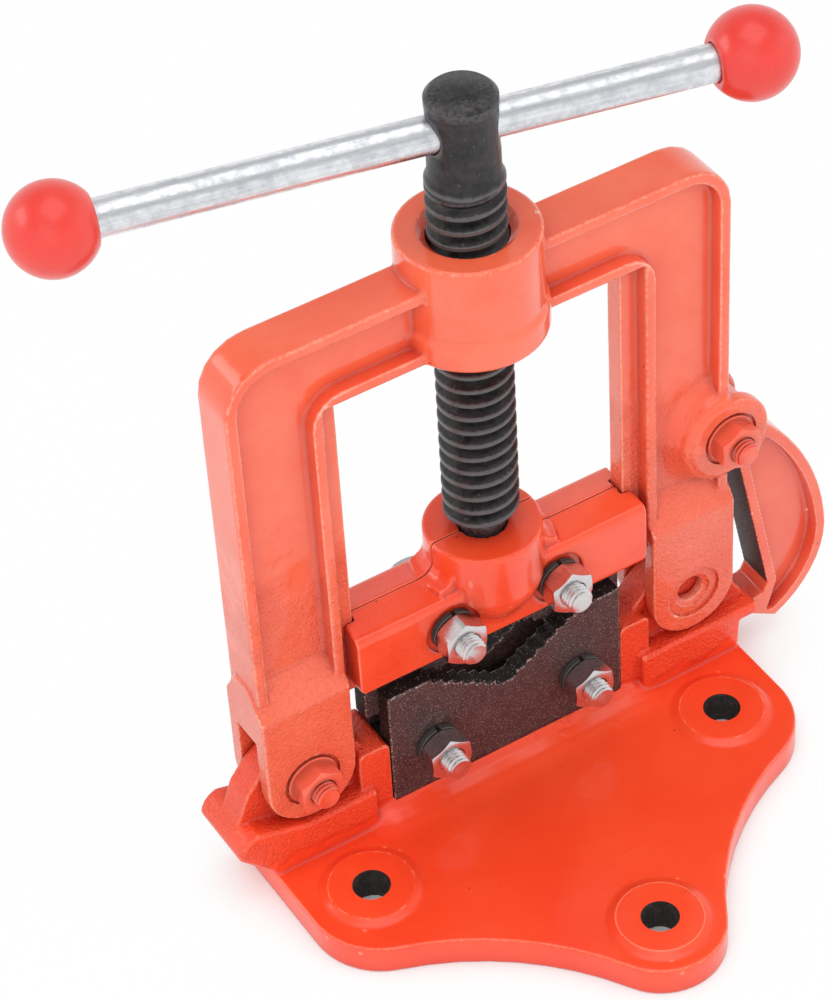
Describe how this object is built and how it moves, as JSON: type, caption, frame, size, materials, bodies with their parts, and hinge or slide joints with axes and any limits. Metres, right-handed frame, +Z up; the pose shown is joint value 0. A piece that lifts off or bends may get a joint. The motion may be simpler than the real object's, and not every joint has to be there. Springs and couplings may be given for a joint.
{
  "type": "pipe vise",
  "caption": "Bench pipe vise: hinged cast yoke with swing latch, screw-driven split jaw carriage and serrated V jaws on a lobed foot.",
  "frame": {"origin": "underside of the foot, in the yoke's middle plane, straight below the clamp screw", "axes": "+Z up along the clamp screw, +X from the yoke's hinge to the latch, -Y to the front, where the foot's single lobe is"},
  "size_m": [0.2374, 0.1442, 0.2513],
  "materials": {
    "yoke_paint": "gloss enamel over rough casting",
    "base_paint": "gloss enamel over rough casting",
    "black_steel": "black oxide steel, oiled",
    "jaw_steel": "hardened dark steel, fine grain",
    "bright_zinc": "bright zinc plate",
    "red_plastic": "glossy"
  },
  "bodies": {
    "base": {"base_casting": "base_paint", "lower_jaw_front": "jaw_steel", "lower_jaw_rear": "jaw_steel", "hinge_bolt": "yoke_paint", "hinge_nut": "yoke_paint", "lower_jaw_left_bolt": "bright_zinc", "lower_jaw_left_nut": "bright_zinc", "lower_jaw_left_spring_washer": "bright_zinc", "lower_jaw_right_bolt": "bright_zinc", "lower_jaw_right_nut": "bright_zinc", "lower_jaw_right_spring_washer": "bright_zinc"},
    "yoke": {"yoke_casting": "yoke_paint", "latch_bolt": "yoke_paint", "latch_nut": "yoke_paint"},
    "latch": {"latch_hook": "yoke_paint"},
    "carriage": {"carriage_front_half": "base_paint", "carriage_rear_half": "base_paint", "upper_jaw": "jaw_steel", "carriage_left_bolt": "bright_zinc", "carriage_left_nut": "bright_zinc", "carriage_left_spring_washer": "bright_zinc", "carriage_right_bolt": "bright_zinc", "carriage_right_nut": "bright_zinc", "carriage_right_spring_washer": "bright_zinc"},
    "screw": {"clamp_screw": "black_steel"},
    "bar": {"tommy_bar": "bright_zinc", "ball_knob_left": "red_plastic", "ball_knob_right": "red_plastic"}
  },
  "joints": [
    {"name": "yoke_hinge", "type": "hinge", "parent": "base", "child": "yoke", "pos_m": [-0.0665, 0, 0.04], "axis": [0, -1, 0], "range_deg": [0, 75]},
    {"name": "latch_swing", "type": "hinge", "parent": "yoke", "child": "latch", "pos_m": [0.079, 0, 0.096], "axis": [0, -1, 0], "range_deg": [-4, 90]},
    {"name": "carriage_slide", "type": "slide", "parent": "yoke", "child": "carriage", "axis": [0, 0, 1], "range_m": [-0.0066, 0.07]},
    {"name": "screw_turn", "type": "hinge", "parent": "carriage", "child": "screw", "pos_m": [0, 0, 0.0845], "axis": [0, 0, 1], "range_deg": [-476, 5041]},
    {"name": "bar_slide", "type": "slide", "parent": "screw", "child": "bar", "axis": [0.9748, -0.2233, 0], "range_m": [-0.0595, 0.0883]}
  ],
  "couplings": [
    {"joint": "screw_turn", "follows": "carriage_slide", "rad_per_m": 1256.6}
  ]
}
